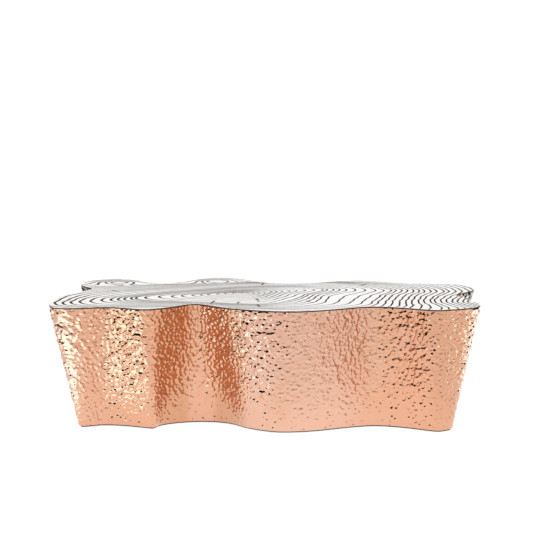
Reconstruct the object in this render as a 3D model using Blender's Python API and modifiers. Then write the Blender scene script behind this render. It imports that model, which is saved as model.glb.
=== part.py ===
"""A low freeform table: an engraved metal top on a timber carcass clad in hammered copper.

The plan is a closed wavy outline of bulges and bays. The wall leans inward from the top edge to
the foot, so each level of the carcass is a blend of the top outline and the foot outline.
Units are metres, +Z is up, the front of the table faces -Y, and the origin is on the floor under
the middle of the top.
"""

import math

import bmesh
import bpy
import numpy as np

# Overall sizes
HEIGHT = 0.413
TOP_THICKNESS = 0.004
TOP_OVERHANG = 0.002
SKIN_THICKNESS = 0.0015
HEM_HEIGHT = 0.007
SHADOW_GAP = 0.0012
SEAM_SETBACK = 0.0006
GAP = 0.0003

# Boards of the carcass
BASE_CLEARANCE = 0.003
BASE_THICKNESS = 0.024
MID_LEVEL = 0.205
MID_THICKNESS = 0.015
FORMER_THICKNESS = 0.018
RIB_THICKNESS = 0.018
BOARD_INSET = SKIN_THICKNESS + 0.0010

# Battens behind the seams of the skin, and the screws that hold the top former down on them
BATTEN_WIDTH = 0.026
BATTEN_DEPTH = 0.020
SLOT_REACH = 0.030
SCREW_HEAD_RADIUS = 0.0045
SCREW_RADIUS = 0.002
SCREW_LENGTH = 0.040
SCREW_HEAD_LAND = 0.0008
SCREW_HEAD_HEIGHT = 0.003

# Levelling feet
PAD_RADIUS = 0.015
PAD_HEIGHT = 0.006
PAD_CHAMFER = 0.001
SOCKET_FLOOR = 0.0025
TIP_RADIUS = 0.004
STUD_RADIUS = 0.005
STUD_LENGTH = 0.042
COLLAR_HEIGHT = 0.004
COLLAR_RADIUS = 0.0098
RECESS_RADIUS = 0.018
RECESS_DEPTH = 0.011
INSERT_RADIUS = 0.007
FLANGE_RADIUS = 0.012
FLANGE_HEIGHT = 0.0015

# Levels that the pieces share
BASE_TOP = BASE_CLEARANCE + BASE_THICKNESS
PLATE_UNDERSIDE = HEIGHT - TOP_THICKNESS
SKIRT_TOP = PLATE_UNDERSIDE - SHADOW_GAP
FORMER_TOP = PLATE_UNDERSIDE - GAP
FORMER_UNDERSIDE = FORMER_TOP - FORMER_THICKNESS

SAMPLES_PER_SPAN = 3
SKIRT_ROWS = 4

# Stations round the plan, anticlockwise as seen from above: x and y on the top edge, x and y on
# the foot, and the name of the seam in the skin that stands there, if there is one.
STATIONS = (
    (-0.709, -0.255, -0.616, -0.225, "left_flank"),
    (-0.703, -0.350, -0.615, -0.280, ""),
    (-0.678, -0.392, -0.604, -0.288, ""),
    (-0.600, -0.391, -0.570, -0.272, ""),
    (-0.510, -0.371, -0.522, -0.259, ""),
    (-0.450, -0.400, -0.450, -0.281, ""),
    (-0.390, -0.426, -0.380, -0.318, "left_bulge"),
    (-0.340, -0.397, -0.363, -0.299, ""),
    (-0.290, -0.337, -0.322, -0.236, ""),
    (-0.235, -0.288, -0.215, -0.195, "front_bay"),
    (-0.180, -0.330, -0.125, -0.228, ""),
    (-0.120, -0.398, -0.075, -0.300, ""),
    (-0.045, -0.447, -0.015, -0.361, ""),
    (0.095, -0.481, 0.075, -0.391, ""),
    (0.180, -0.448, 0.160, -0.368, ""),
    (0.255, -0.403, 0.240, -0.322, ""),
    (0.330, -0.360, 0.340, -0.277, "right_bay"),
    (0.410, -0.374, 0.405, -0.286, ""),
    (0.480, -0.413, 0.475, -0.322, ""),
    (0.545, -0.448, 0.548, -0.374, ""),
    (0.615, -0.422, 0.582, -0.364, ""),
    (0.676, -0.378, 0.602, -0.343, "near_right_corner"),
    (0.695, -0.335, 0.608, -0.315, ""),
    (0.683, -0.235, 0.594, -0.215, ""),
    (0.660, -0.150, 0.568, -0.140, ""),
    (0.642, -0.075, 0.548, -0.065, ""),
    (0.662, 0.000, 0.562, 0.018, ""),
    (0.702, 0.065, 0.602, 0.092, ""),
    (0.718, 0.140, 0.624, 0.142, ""),
    (0.700, 0.225, 0.612, 0.188, "far_right_lobe"),
    (0.645, 0.280, 0.580, 0.206, ""),
    (0.555, 0.290, 0.530, 0.205, ""),
    (0.465, 0.312, 0.440, 0.225, ""),
    (0.395, 0.362, 0.360, 0.278, ""),
    (0.325, 0.389, 0.322, 0.296, ""),
    (0.245, 0.358, 0.284, 0.276, ""),
    (0.165, 0.312, 0.200, 0.226, ""),
    (0.080, 0.291, 0.088, 0.198, "far_middle_bay"),
    (0.000, 0.318, -0.040, 0.235, ""),
    (-0.052, 0.382, -0.110, 0.310, ""),
    (-0.095, 0.452, -0.145, 0.372, ""),
    (-0.165, 0.481, -0.170, 0.390, ""),
    (-0.230, 0.450, -0.193, 0.372, ""),
    (-0.275, 0.382, -0.212, 0.325, ""),
    (-0.320, 0.325, -0.265, 0.248, ""),
    (-0.375, 0.303, -0.368, 0.212, "far_left_bay"),
    (-0.425, 0.335, -0.478, 0.262, ""),
    (-0.475, 0.402, -0.525, 0.322, ""),
    (-0.545, 0.431, -0.547, 0.338, "far_left_lobe"),
    (-0.612, 0.405, -0.562, 0.322, ""),
    (-0.648, 0.330, -0.565, 0.285, ""),
    (-0.645, 0.230, -0.552, 0.222, ""),
    (-0.607, 0.145, -0.512, 0.148, ""),
    (-0.632, 0.060, -0.542, 0.030, ""),
    (-0.676, -0.025, -0.590, -0.055, ""),
    (-0.702, -0.135, -0.614, -0.140, ""),
)

# The panels of the skin, each named for where it stands, from one seam to the next
PANELS = (
    ("skirt_front_left", "left_flank", "left_bulge"),
    ("skirt_front_bay", "left_bulge", "front_bay"),
    ("skirt_front_centre", "front_bay", "right_bay"),
    ("skirt_front_right", "right_bay", "near_right_corner"),
    ("skirt_right_end", "near_right_corner", "far_right_lobe"),
    ("skirt_far_right", "far_right_lobe", "far_middle_bay"),
    ("skirt_far_bulge", "far_middle_bay", "far_left_bay"),
    ("skirt_far_left", "far_left_bay", "far_left_lobe"),
    ("skirt_left_end", "far_left_lobe", "left_flank"),
)

# How far each batten stands inside the skin: more where the skin turns a tight corner
BATTEN_RELIEF = {
    "left_bulge": 0.013,
    "near_right_corner": 0.008,
    "far_right_lobe": 0.007,
    "far_left_lobe": 0.013,
}
BAY_RELIEF = SKIN_THICKNESS + 0.0009

# The long spine, and the cross ribs that are lapped over it: place, then the two ends on the
# base board and the two ends under the top former
SPINE_Y = -0.030
SPINE_ENDS = ((-0.525, 0.480), (-0.600, 0.565))
RIBS = (
    (-0.430, (-0.225, 0.175), (-0.345, 0.265)),
    (-0.170, (-0.135, 0.320), (-0.275, 0.415)),
    (0.100, (-0.325, 0.135), (-0.415, 0.225)),
    (0.360, (-0.215, 0.205), (-0.300, 0.310)),
)

# Lightening windows in the mid former, between the ribs: their spans along X, and along Y
WINDOW_SPANS = ((-0.390, -0.210), (-0.130, 0.060), (0.140, 0.320))
WINDOW_REACHES = ((-0.190, -0.070), (0.010, 0.150))

# Places of the levelling feet in plan
FEET = (
    (-0.530, -0.190),
    (0.040, -0.300),
    (0.515, -0.275),
    (0.560, 0.135),
    (-0.125, 0.295),
    (-0.525, 0.250),
)


def clear_scene():
    """Remove every object, so that the model starts from nothing."""
    for item in list(bpy.data.objects):
        bpy.data.objects.remove(item, do_unlink=True)


def new_collection(name):
    """A collection linked to the scene."""
    collection = bpy.data.collections.new(name)
    bpy.context.scene.collection.children.link(collection)
    return collection


def new_material(name, colour, roughness, metallic):
    """A Principled material of one colour."""
    material = bpy.data.materials.new(name)
    material.use_nodes = True
    shader = material.node_tree.nodes["Principled BSDF"]
    shader.inputs["Base Color"].default_value = (*colour, 1.0)
    shader.inputs["Roughness"].default_value = roughness
    shader.inputs["Metallic"].default_value = metallic
    return material


def closed_spline(stations, samples):
    """A smooth closed curve through the stations, with so many samples to each span.

    The slopes solve the periodic cubic spline, with the plan distance along the top edge as its
    parameter, so that the top edge and the foot keep step with each other.
    """
    count = len(stations)
    ahead = np.roll(stations, -1, axis=0)
    span = np.linalg.norm((ahead - stations)[:, :2], axis=1)
    rate = (ahead - stations) / span[:, None]
    system = np.zeros((count, count))
    load = np.zeros_like(stations)
    for i in range(count):
        before = (i - 1) % count
        system[i, before] = span[i]
        system[i, i] = 2 * (span[i] + span[before])
        system[i, (i + 1) % count] = span[before]
        load[i] = 3 * (span[i] * rate[before] + span[before] * rate[i])
    slope = np.linalg.solve(system, load)
    slope_ahead = np.roll(slope, -1, axis=0)
    curve = []
    for i in range(count):
        for step in range(samples):
            t = step / samples
            curve.append(
                (1 + 2 * t) * (1 - t) ** 2 * stations[i]
                + t * (1 - t) ** 2 * span[i] * slope[i]
                + t * t * (3 - 2 * t) * ahead[i]
                - t * t * (1 - t) * span[i] * slope_ahead[i]
            )
    return np.array(curve)


def plan_outlines():
    """The top and foot outlines, with the top's box centred on the origin."""
    curve = closed_spline(np.array([row[:4] for row in STATIONS]), SAMPLES_PER_SPAN)
    top = curve[:, :2]
    foot = curve[:, 2:]
    centre = (top.min(axis=0) + top.max(axis=0)) / 2
    return top - centre, foot - centre, centre


TOP_EDGE, FOOT_EDGE, CENTRE = plan_outlines()


def inward_normals(points):
    """Unit normals of a closed anticlockwise outline, pointing into it."""
    along = np.roll(points, -1, axis=0) - np.roll(points, 1, axis=0)
    along /= np.linalg.norm(along, axis=1)[:, None]
    return np.stack([-along[:, 1], along[:, 0]], axis=1)


def outline_at(level, inset=0.0):
    """The wall's outline at a level, moved inward by an inset."""
    share = level / HEIGHT
    points = FOOT_EDGE + (TOP_EDGE - FOOT_EDGE) * share
    return points + inward_normals(points) * inset


def station_index(seam):
    """The place of a named seam among the samples of the outlines."""
    names = [row[4] for row in STATIONS]
    return names.index(seam) * SAMPLES_PER_SPAN


def link_mesh(name, form, collection, material):
    """Turn a bmesh into a named object."""
    mesh = bpy.data.meshes.new(name)
    form.to_mesh(mesh)
    form.free()
    item = bpy.data.objects.new(name, mesh)
    collection.objects.link(item)
    if material is not None:
        mesh.materials.append(material)
    return item


def loft(name, lower, upper, bottom, top, collection, material):
    """A closed solid between two horizontal outlines with the same number of points."""
    form = bmesh.new()
    low = [form.verts.new((x, y, bottom)) for x, y in lower]
    high = [form.verts.new((x, y, top)) for x, y in upper]
    form.faces.new(reversed(low))
    form.faces.new(high)
    sides = []
    for i in range(len(low)):
        j = (i + 1) % len(low)
        sides.append(form.faces.new((low[i], low[j], high[j], high[i])))
    bmesh.ops.triangulate(form, faces=sides)
    bmesh.ops.recalc_face_normals(form, faces=form.faces)
    return link_mesh(name, form, collection, material)


def level_board(name, bottom, thickness, inset, collection, material):
    """A board whose edge is bevelled to follow the leaning wall."""
    top = bottom + thickness
    lower = outline_at(bottom, inset)
    upper = outline_at(top, inset)
    return loft(name, lower, upper, bottom, top, collection, material)


def boolean(target, tool, operation):
    """Cut a tool out of a target, or join it on."""
    modifier = target.modifiers.new(f"{operation.lower()}_{tool.name}", "BOOLEAN")
    modifier.object = tool
    modifier.operation = operation
    modifier.solver = "EXACT"
    tool.hide_render = True
    tool.display_type = "WIRE"


def turned(name, profile, place, collection, material, steps=16):
    """A turned piece: a profile that runs down its outer side, swept about the vertical."""
    form = bmesh.new()
    points = [form.verts.new((radius, 0.0, level)) for radius, level in profile]
    for first, second in zip(points, points[1:]):
        form.edges.new((first, second))
    mesh = bpy.data.meshes.new(name)
    form.to_mesh(mesh)
    form.free()
    item = bpy.data.objects.new(name, mesh)
    item.location = place
    collection.objects.link(item)
    screw = item.modifiers.new("turn", "SCREW")
    screw.axis = "Z"
    screw.angle = math.tau
    screw.steps = steps
    screw.render_steps = steps
    screw.use_merge_vertices = True
    screw.merge_threshold = 0.00001
    if material is not None:
        mesh.materials.append(material)
    return item


def cylinder(name, radius, bottom, top, place, collection, sides=20):
    """A plain upright cylinder, used as a cutter."""
    profile = ((0.0, top), (radius, top), (radius, bottom), (0.0, bottom))
    return turned(name, profile, place, collection, None, sides)


def make_top_plate(parts, steel):
    """The metal top, a little proud of the wall all round."""
    edge = outline_at(HEIGHT, -TOP_OVERHANG)
    return loft("top_plate", edge, edge, PLATE_UNDERSIDE, HEIGHT, parts, steel)


def skirt_row(level, order):
    """The points of a panel at one level, with its ends drawn back from the seams."""
    outline = outline_at(level)
    points = [outline[i] for i in order]
    for end, neighbour in ((0, 1), (-1, -2)):
        step = points[neighbour] - points[end]
        points[end] = points[end] + step / np.linalg.norm(step) * SEAM_SETBACK
    return points


def make_skirt_panel(name, first_seam, last_seam, parts, copper):
    """One sheet of the skin, ruled from its hem up to the shadow gap under the top plate."""
    count = len(TOP_EDGE)
    first = station_index(first_seam)
    last = station_index(last_seam)
    if last <= first:
        last += count
    order = [i % count for i in range(first, last + 1)]
    form = bmesh.new()
    rows = []
    for level in np.linspace(HEM_HEIGHT, SKIRT_TOP, SKIRT_ROWS + 1):
        rows.append([form.verts.new((x, y, level)) for x, y in skirt_row(level, order)])
    for lower, upper in zip(rows, rows[1:]):
        for i in range(len(order) - 1):
            form.faces.new((lower[i], lower[i + 1], upper[i + 1], upper[i]))
    panel = link_mesh(name, form, parts, copper)
    solidify = panel.modifiers.new("sheet", "SOLIDIFY")
    solidify.thickness = SKIN_THICKNESS
    solidify.offset = -1.0
    solidify.use_even_offset = True
    return panel


def batten_section(level, seam, grow=0.0, reach_out=0.0):
    """The four corners of a batten at a level, its broad face towards the skin.

    A batten keeps one direction all the way up, the wall's own direction at half height. Its slot
    is a little larger, and reaches out through the edge of the board.
    """
    index = station_index(seam)
    normal = inward_normals(outline_at(MID_LEVEL))[index]
    along = np.array([-normal[1], normal[0]])
    relief = BATTEN_RELIEF.get(seam, BAY_RELIEF)
    middle = outline_at(level)[index] + normal * (relief + BATTEN_DEPTH / 2)
    half_width = BATTEN_WIDTH / 2 + grow
    half_depth = BATTEN_DEPTH / 2 + grow
    sides = ((1, half_depth), (-1, half_depth), (-1, -half_depth - reach_out),
             (1, -half_depth - reach_out))
    return [middle + along * half_width * side + normal * depth for side, depth in sides]


def batten_loft(name, seam, bottom, top, collection, material, grow=0.0, reach_out=0.0):
    """A batten, or the slot for one, that leans with the wall between two levels."""
    lower = batten_section(bottom, seam, grow, reach_out)
    upper = batten_section(top, seam, grow, reach_out)
    return loft(name, lower, upper, bottom, top, collection, material)


def upright(name, axis, place, ends_low, ends_high, levels, thickness, collection, material):
    """An upright board across the carcass, with its ends sloped like the wall."""
    half = thickness / 2

    def rectangle(ends):
        corners = ((ends[0], -half), (ends[1], -half), (ends[1], half), (ends[0], half))
        if axis == "X":
            return [(along, place + side) for along, side in corners]
        return [(place - side, along) for along, side in corners]

    bottom, top = levels
    return loft(name, rectangle(ends_low), rectangle(ends_high), bottom, top, collection, material)


def blend_ends(low, high, level):
    """The ends of an upright board at a level between the base board and the top former."""
    share = (level - BASE_TOP) / (FORMER_UNDERSIDE - BASE_TOP)
    return tuple(a + (b - a) * share for a, b in zip(low, high))


def grown(ends, amount):
    """A pair of ends moved apart."""
    return ends[0] - amount, ends[1] + amount


def cut_windows(mid_former, cutters):
    """Cut the lightening windows out of the mid former."""
    levels = (MID_LEVEL - 0.01, MID_LEVEL + MID_THICKNESS + 0.01)
    for left, right in WINDOW_SPANS:
        for near, far in WINDOW_REACHES:
            corners = ((left, near), (right, near), (right, far), (left, far))
            corners = [(x - CENTRE[0], y - CENTRE[1]) for x, y in corners]
            window = loft("window", corners, corners, *levels, cutters, None)
            boolean(mid_former, window, "DIFFERENCE")


def make_uprights(parts, cutters, mid_former, plywood):
    """The spine and the cross ribs, half-lapped where they meet and slotted into the mid former."""
    levels = (BASE_TOP + GAP, FORMER_UNDERSIDE - GAP)
    lap = (levels[0] + levels[1]) / 2
    slot = RIB_THICKNESS + 2 * GAP
    ring_levels = (MID_LEVEL - 0.01, MID_LEVEL + MID_THICKNESS + 0.01)
    centred = [tuple(x - CENTRE[0] for x in ends) for ends in SPINE_ENDS]
    spine_y = SPINE_Y - CENTRE[1]
    spine = upright("spine", "X", spine_y, *centred, levels, RIB_THICKNESS, parts, plywood)
    ring_low = grown(blend_ends(*centred, ring_levels[0]), GAP)
    ring_high = grown(blend_ends(*centred, ring_levels[1]), GAP)
    cutter = upright("slot_spine", "X", spine_y, ring_low, ring_high, ring_levels, slot, cutters, None)
    boolean(mid_former, cutter, "DIFFERENCE")
    for number, (x, low, high) in enumerate(RIBS, start=1):
        place = x - CENTRE[0]
        low = tuple(y - CENTRE[1] for y in low)
        high = tuple(y - CENTRE[1] for y in high)
        rib = upright(f"rib_{number}", "Y", place, low, high, levels, RIB_THICKNESS, parts, plywood)
        ring_low = grown(blend_ends(low, high, ring_levels[0]), GAP)
        ring_high = grown(blend_ends(low, high, ring_levels[1]), GAP)
        cutter = upright(f"slot_rib_{number}", "Y", place, ring_low, ring_high, ring_levels, slot,
                         cutters, None)
        boolean(mid_former, cutter, "DIFFERENCE")
        reach = (spine_y - slot / 2, spine_y + slot / 2)
        over = (levels[0] - 0.01, lap + GAP / 2)
        notch = upright(f"lap_rib_{number}", "Y", place, reach, reach, over, slot, cutters, None)
        boolean(rib, notch, "DIFFERENCE")
        over = (lap - GAP / 2, levels[1] + 0.01)
        notch = upright(f"lap_spine_{number}", "Y", place, reach, reach, over, slot, cutters, None)
        boolean(spine, notch, "DIFFERENCE")


def screw_profile(clearance, head_top, tip):
    """The outer side of a countersunk screw, or of its hole when the clearance isn't zero."""
    head = SCREW_HEAD_RADIUS + clearance
    shank = SCREW_RADIUS + clearance
    land = FORMER_TOP - SCREW_HEAD_LAND - clearance
    neck = FORMER_TOP - SCREW_HEAD_HEIGHT - clearance
    return ((0.0, head_top), (head, head_top), (head, land), (shank, neck), (shank, tip), (0.0, tip))


def make_battens_and_screws(parts, cutters, top_former, mid_former, pine, steel):
    """A batten behind each seam, with a screw down into it through the top former."""
    bottom = BASE_TOP + GAP
    top = FORMER_UNDERSIDE - GAP
    tip = FORMER_TOP - SCREW_LENGTH
    for number, (_, seam, _) in enumerate(PANELS, start=1):
        batten = batten_loft(f"batten_{seam}", seam, bottom, top, parts, pine)
        slot = batten_loft(f"slot_{seam}", seam, MID_LEVEL - 0.01, MID_LEVEL + MID_THICKNESS + 0.01,
                           cutters, None, GAP, SLOT_REACH)
        boolean(mid_former, slot, "DIFFERENCE")
        centre = sum(batten_section(top - SCREW_LENGTH / 4, seam)) / 4
        place = (centre[0], centre[1], 0.0)
        turned(f"former_screw_{number}", screw_profile(0.0, FORMER_TOP - GAP, tip), place,
               parts, steel, 12)
        hole = turned(f"screw_hole_{number}", screw_profile(GAP, FORMER_TOP + GAP, tip - GAP), place,
                      cutters, None, 12)
        boolean(top_former, hole, "DIFFERENCE")
        boolean(batten, hole, "DIFFERENCE")


def make_foot(number, place, parts, cutters, base_board, zinc, rubber):
    """A levelling foot: a flanged threaded insert, a stud with a hexagon collar, and a pad."""
    recess_roof = BASE_CLEARANCE + RECESS_DEPTH
    recess = cylinder(f"recess_{number}", RECESS_RADIUS, 0.0, recess_roof, place, cutters)
    boolean(base_board, recess, "DIFFERENCE")
    hole = cylinder(f"insert_hole_{number}", INSERT_RADIUS + GAP, 0.0, BASE_TOP + 0.01, place, cutters)
    boolean(base_board, hole, "DIFFERENCE")

    bore = STUD_RADIUS + GAP
    flange_bottom = BASE_TOP + GAP
    flange_top = flange_bottom + FLANGE_HEIGHT
    barrel_bottom = recess_roof + GAP
    insert = ((bore, flange_top), (FLANGE_RADIUS, flange_top), (FLANGE_RADIUS, flange_bottom),
              (INSERT_RADIUS, flange_bottom), (INSERT_RADIUS, barrel_bottom),
              (bore, barrel_bottom), (bore, flange_top))
    turned(f"foot_{number}_insert", insert, place, parts, zinc)

    socket = TIP_RADIUS + GAP
    pad = ((0.0, SOCKET_FLOOR), (socket, SOCKET_FLOOR), (socket, PAD_HEIGHT),
           (PAD_RADIUS - PAD_CHAMFER, PAD_HEIGHT), (PAD_RADIUS, PAD_HEIGHT - PAD_CHAMFER),
           (PAD_RADIUS, PAD_CHAMFER), (PAD_RADIUS - PAD_CHAMFER, 0.0), (0.0, 0.0))
    turned(f"foot_{number}_pad", pad, place, parts, rubber)

    tip = SOCKET_FLOOR + GAP
    collar_bottom = PAD_HEIGHT + GAP
    stud_top = tip + STUD_LENGTH
    stud = ((0.0, stud_top), (STUD_RADIUS - 0.001, stud_top), (STUD_RADIUS, stud_top - 0.001),
            (STUD_RADIUS, collar_bottom + 0.001), (TIP_RADIUS, collar_bottom + 0.001),
            (TIP_RADIUS, tip), (0.0, tip))
    stud_piece = turned(f"foot_{number}_stud", stud, place, parts, zinc)
    collar = cylinder(f"collar_{number}", COLLAR_RADIUS, collar_bottom,
                      collar_bottom + COLLAR_HEIGHT, place, cutters, 6)
    boolean(stud_piece, collar, "UNION")


def build():
    """Make every piece of the table."""
    clear_scene()
    parts = new_collection("freeform_table")
    cutters = new_collection("cutters")

    silver = new_material("engraved_top_metal", (0.80, 0.79, 0.77), 0.22, 1.0)
    copper = new_material("hammered_copper", (0.93, 0.60, 0.46), 0.20, 1.0)
    plywood = new_material("birch_plywood", (0.72, 0.56, 0.38), 0.60, 0.0)
    pine = new_material("pine_batten", (0.78, 0.62, 0.42), 0.65, 0.0)
    stained = new_material("black_stained_board", (0.02, 0.018, 0.016), 0.50, 0.0)
    zinc = new_material("zinc_plated_steel", (0.62, 0.63, 0.65), 0.35, 1.0)
    rubber = new_material("foot_rubber", (0.03, 0.03, 0.03), 0.80, 0.0)

    make_top_plate(parts, silver)
    top_former = level_board("top_former", FORMER_UNDERSIDE, FORMER_THICKNESS, BOARD_INSET,
                             parts, plywood)
    mid_former = level_board("mid_former", MID_LEVEL, MID_THICKNESS, BOARD_INSET, parts, plywood)
    cut_windows(mid_former, cutters)
    base_board = level_board("base_board", BASE_CLEARANCE, BASE_THICKNESS, BOARD_INSET,
                             parts, stained)

    for name, first_seam, last_seam in PANELS:
        make_skirt_panel(name, first_seam, last_seam, parts, copper)
    make_uprights(parts, cutters, mid_former, plywood)
    make_battens_and_screws(parts, cutters, top_former, mid_former, pine, zinc)
    for number, (x, y) in enumerate(FEET, start=1):
        place = (x - CENTRE[0], y - CENTRE[1], 0.0)
        make_foot(number, place, parts, cutters, base_board, zinc, rubber)


build()
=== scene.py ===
"""The looks of a low freeform table: a silvery engraved top over a wall of hammered copper.

The top plate and the copper panels are rebuilt here as fine meshes in the places of their plain
CAD solids. The growth rings of the top are cut into its mesh as grooves, and the copper's hammer
marks are dished into its panels. Units are metres, +Z is up and the front of the table faces -Y.
"""

import math

import bmesh
import bpy
import numpy as np
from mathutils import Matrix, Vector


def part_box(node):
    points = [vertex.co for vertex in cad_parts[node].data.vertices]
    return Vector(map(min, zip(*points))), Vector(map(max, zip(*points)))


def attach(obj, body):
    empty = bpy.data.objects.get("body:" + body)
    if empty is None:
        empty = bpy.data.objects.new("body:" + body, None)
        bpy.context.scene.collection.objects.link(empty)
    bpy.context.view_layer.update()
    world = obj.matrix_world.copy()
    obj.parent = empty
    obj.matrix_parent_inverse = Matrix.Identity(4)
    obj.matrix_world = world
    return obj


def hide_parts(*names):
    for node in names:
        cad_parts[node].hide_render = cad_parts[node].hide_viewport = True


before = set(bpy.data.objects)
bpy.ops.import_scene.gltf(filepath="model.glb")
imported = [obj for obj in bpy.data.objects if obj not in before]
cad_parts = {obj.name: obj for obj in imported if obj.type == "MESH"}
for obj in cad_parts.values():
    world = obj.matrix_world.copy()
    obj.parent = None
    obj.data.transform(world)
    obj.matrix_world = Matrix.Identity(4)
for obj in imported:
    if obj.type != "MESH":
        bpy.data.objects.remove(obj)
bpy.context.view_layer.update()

# Sizes that the fine meshes share with the CAD model
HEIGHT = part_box("top_plate")[1].z
TOP_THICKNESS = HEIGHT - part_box("top_plate")[0].z
TOP_OVERHANG = 0.002
SKIN_THICKNESS = 0.0015
HEM_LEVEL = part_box("skirt_front_centre")[0].z
SKIRT_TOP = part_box("skirt_front_centre")[1].z
CAD_SAMPLES = 3
FINE_SAMPLES = 24

# Stations round the plan, anticlockwise as seen from above: x and y on the top edge, x and y on
# the foot, and the name of the seam in the skin that stands there, if there is one.
STATIONS = (
    (-0.709, -0.255, -0.616, -0.225, "left_flank"),
    (-0.703, -0.350, -0.615, -0.280, ""),
    (-0.678, -0.392, -0.604, -0.288, ""),
    (-0.600, -0.391, -0.570, -0.272, ""),
    (-0.510, -0.371, -0.522, -0.259, ""),
    (-0.450, -0.400, -0.450, -0.281, ""),
    (-0.390, -0.426, -0.380, -0.318, "left_bulge"),
    (-0.340, -0.397, -0.363, -0.299, ""),
    (-0.290, -0.337, -0.322, -0.236, ""),
    (-0.235, -0.288, -0.215, -0.195, "front_bay"),
    (-0.180, -0.330, -0.125, -0.228, ""),
    (-0.120, -0.398, -0.075, -0.300, ""),
    (-0.045, -0.447, -0.015, -0.361, ""),
    (0.095, -0.481, 0.075, -0.391, ""),
    (0.180, -0.448, 0.160, -0.368, ""),
    (0.255, -0.403, 0.240, -0.322, ""),
    (0.330, -0.360, 0.340, -0.277, "right_bay"),
    (0.410, -0.374, 0.405, -0.286, ""),
    (0.480, -0.413, 0.475, -0.322, ""),
    (0.545, -0.448, 0.548, -0.374, ""),
    (0.615, -0.422, 0.582, -0.364, ""),
    (0.676, -0.378, 0.602, -0.343, "near_right_corner"),
    (0.695, -0.335, 0.608, -0.315, ""),
    (0.683, -0.235, 0.594, -0.215, ""),
    (0.660, -0.150, 0.568, -0.140, ""),
    (0.642, -0.075, 0.548, -0.065, ""),
    (0.662, 0.000, 0.562, 0.018, ""),
    (0.702, 0.065, 0.602, 0.092, ""),
    (0.718, 0.140, 0.624, 0.142, ""),
    (0.700, 0.225, 0.612, 0.188, "far_right_lobe"),
    (0.645, 0.280, 0.580, 0.206, ""),
    (0.555, 0.290, 0.530, 0.205, ""),
    (0.465, 0.312, 0.440, 0.225, ""),
    (0.395, 0.362, 0.360, 0.278, ""),
    (0.325, 0.389, 0.322, 0.296, ""),
    (0.245, 0.358, 0.284, 0.276, ""),
    (0.165, 0.312, 0.200, 0.226, ""),
    (0.080, 0.291, 0.088, 0.198, "far_middle_bay"),
    (0.000, 0.318, -0.040, 0.235, ""),
    (-0.052, 0.382, -0.110, 0.310, ""),
    (-0.095, 0.452, -0.145, 0.372, ""),
    (-0.165, 0.481, -0.170, 0.390, ""),
    (-0.230, 0.450, -0.193, 0.372, ""),
    (-0.275, 0.382, -0.212, 0.325, ""),
    (-0.320, 0.325, -0.265, 0.248, ""),
    (-0.375, 0.303, -0.368, 0.212, "far_left_bay"),
    (-0.425, 0.335, -0.478, 0.262, ""),
    (-0.475, 0.402, -0.525, 0.322, ""),
    (-0.545, 0.431, -0.547, 0.338, "far_left_lobe"),
    (-0.612, 0.405, -0.562, 0.322, ""),
    (-0.648, 0.330, -0.565, 0.285, ""),
    (-0.645, 0.230, -0.552, 0.222, ""),
    (-0.607, 0.145, -0.512, 0.148, ""),
    (-0.632, 0.060, -0.542, 0.030, ""),
    (-0.676, -0.025, -0.590, -0.055, ""),
    (-0.702, -0.135, -0.614, -0.140, ""),
)

# The panels of the skin, each from one seam to the next
PANELS = (
    ("skirt_front_left", "left_flank", "left_bulge"),
    ("skirt_front_bay", "left_bulge", "front_bay"),
    ("skirt_front_centre", "front_bay", "right_bay"),
    ("skirt_front_right", "right_bay", "near_right_corner"),
    ("skirt_right_end", "near_right_corner", "far_right_lobe"),
    ("skirt_far_right", "far_right_lobe", "far_middle_bay"),
    ("skirt_far_bulge", "far_middle_bay", "far_left_bay"),
    ("skirt_far_left", "far_left_bay", "far_left_lobe"),
    ("skirt_left_end", "far_left_lobe", "left_flank"),
)

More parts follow.
